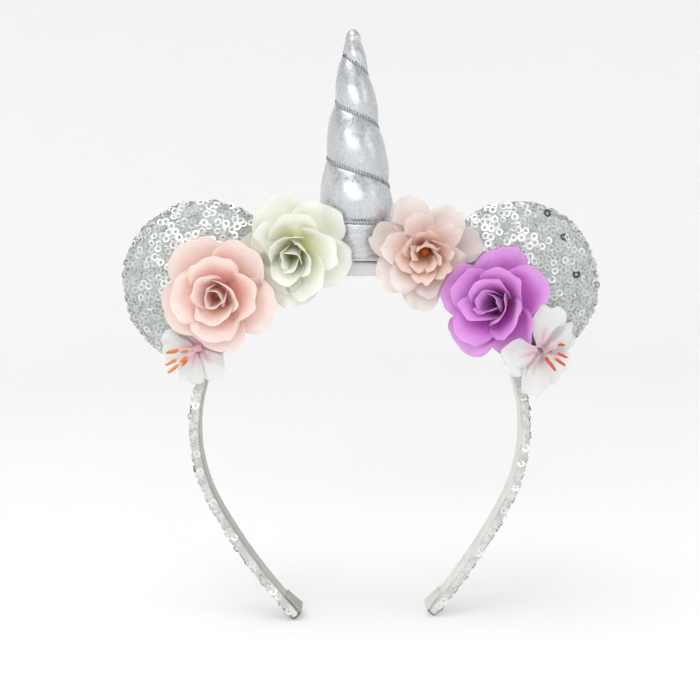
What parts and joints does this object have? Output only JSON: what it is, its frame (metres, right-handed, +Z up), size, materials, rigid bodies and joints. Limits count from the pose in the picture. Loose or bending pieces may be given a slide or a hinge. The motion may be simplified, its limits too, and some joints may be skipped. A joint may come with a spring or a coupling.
{
  "type": "unicorn horn and ears headband",
  "caption": "Sprung alice band dressed with a stuffed spiral horn, round sequin ears and fabric flowers, worn over the top of the head.",
  "frame": {"origin": "centre of the crown's inner circle, at the middle of the band's width", "axes": "+Z up through the horn, -Y to the front where the flowers are, +X to the right as seen from the front"},
  "size_m": [0.1802, 0.04, 0.2253],
  "materials": {
    "band_plastic": "moulded, satin",
    "band_sequin_fabric": "mesh with small ring sequins",
    "satin_ribbon": "woven satin, low sheen",
    "silver_strip": "smooth coated fabric",
    "felt": "matt felt",
    "horn_lame": "metallic lame, bright sheen",
    "fibre_filling": "loose polyester fibre",
    "silver_cord": "twisted metallic cord",
    "ear_sequin_fabric": "mesh with 3 mm ring sequins",
    "pink_petal_fabric": "stamped polyester, soft sheen",
    "ivory_petal_fabric": "stamped polyester, soft sheen",
    "peach_petal_fabric": "stamped chiffon, translucent",
    "purple_petal_fabric": "stamped polyester, soft sheen",
    "blossom_petal_fabric": "stamped polyester, soft sheen",
    "orange_stamens": "waxed thread",
    "red_stamens": "waxed thread",
    "stem_plastic": "moulded"
  },
  "bodies": {
    "crown": {"band_core_crown": "band_plastic", "sequin_cover_crown": "band_sequin_fabric", "satin_lining_crown": "satin_ribbon", "backing_strip": "silver_strip", "horn_base_pad": "felt", "horn_skin": "horn_lame", "horn_filling": "fibre_filling", "horn_cord": "silver_cord", "left_ear_front_panel": "ear_sequin_fabric", "left_ear_back_panel": "ear_sequin_fabric", "left_ear_filling": "fibre_filling", "right_ear_front_panel": "ear_sequin_fabric", "right_ear_back_panel": "ear_sequin_fabric", "right_ear_filling": "fibre_filling", "pink_rose_outer_petals": "pink_petal_fabric", "pink_rose_middle_petals": "pink_petal_fabric", "pink_rose_inner_petals": "pink_petal_fabric", "pink_rose_stem": "stem_plastic", "ivory_rose_outer_petals": "ivory_petal_fabric", "ivory_rose_middle_petals": "ivory_petal_fabric", "ivory_rose_inner_petals": "ivory_petal_fabric", "ivory_rose_stem": "stem_plastic", "peach_flower_outer_petals": "peach_petal_fabric", "peach_flower_middle_petals": "peach_petal_fabric", "peach_flower_inner_petals": "peach_petal_fabric", "peach_flower_stem": "stem_plastic", "purple_rose_outer_petals": "purple_petal_fabric", "purple_rose_middle_petals": "purple_petal_fabric", "purple_rose_inner_petals": "purple_petal_fabric", "purple_rose_stem": "stem_plastic", "left_blossom_petals": "blossom_petal_fabric", "left_blossom_stamens": "orange_stamens", "left_blossom_stem": "stem_plastic", "right_blossom_petals": "blossom_petal_fabric", "right_blossom_stamens": "red_stamens", "right_blossom_stem": "stem_plastic"},
    "left_leg": {"left_leg_core": "band_plastic", "left_leg_cover": "band_sequin_fabric", "left_leg_lining": "satin_ribbon", "left_leg_tip_fold": "satin_ribbon"},
    "right_leg": {"right_leg_core": "band_plastic", "right_leg_cover": "band_sequin_fabric", "right_leg_lining": "satin_ribbon", "right_leg_tip_fold": "satin_ribbon"}
  },
  "joints": [
    {"name": "left_leg_flex", "type": "hinge", "parent": "crown", "child": "left_leg", "pos_m": [-0.06001, 0, 0.0195], "axis": [0, 1, 0], "range_deg": [-6, 20], "stiffness_Nm_per_rad": 0.45},
    {"name": "right_leg_flex", "type": "hinge", "parent": "crown", "child": "right_leg", "pos_m": [0.06001, 0, 0.0195], "axis": [0, -1, 0], "range_deg": [-6, 20], "stiffness_Nm_per_rad": 0.45}
  ]
}
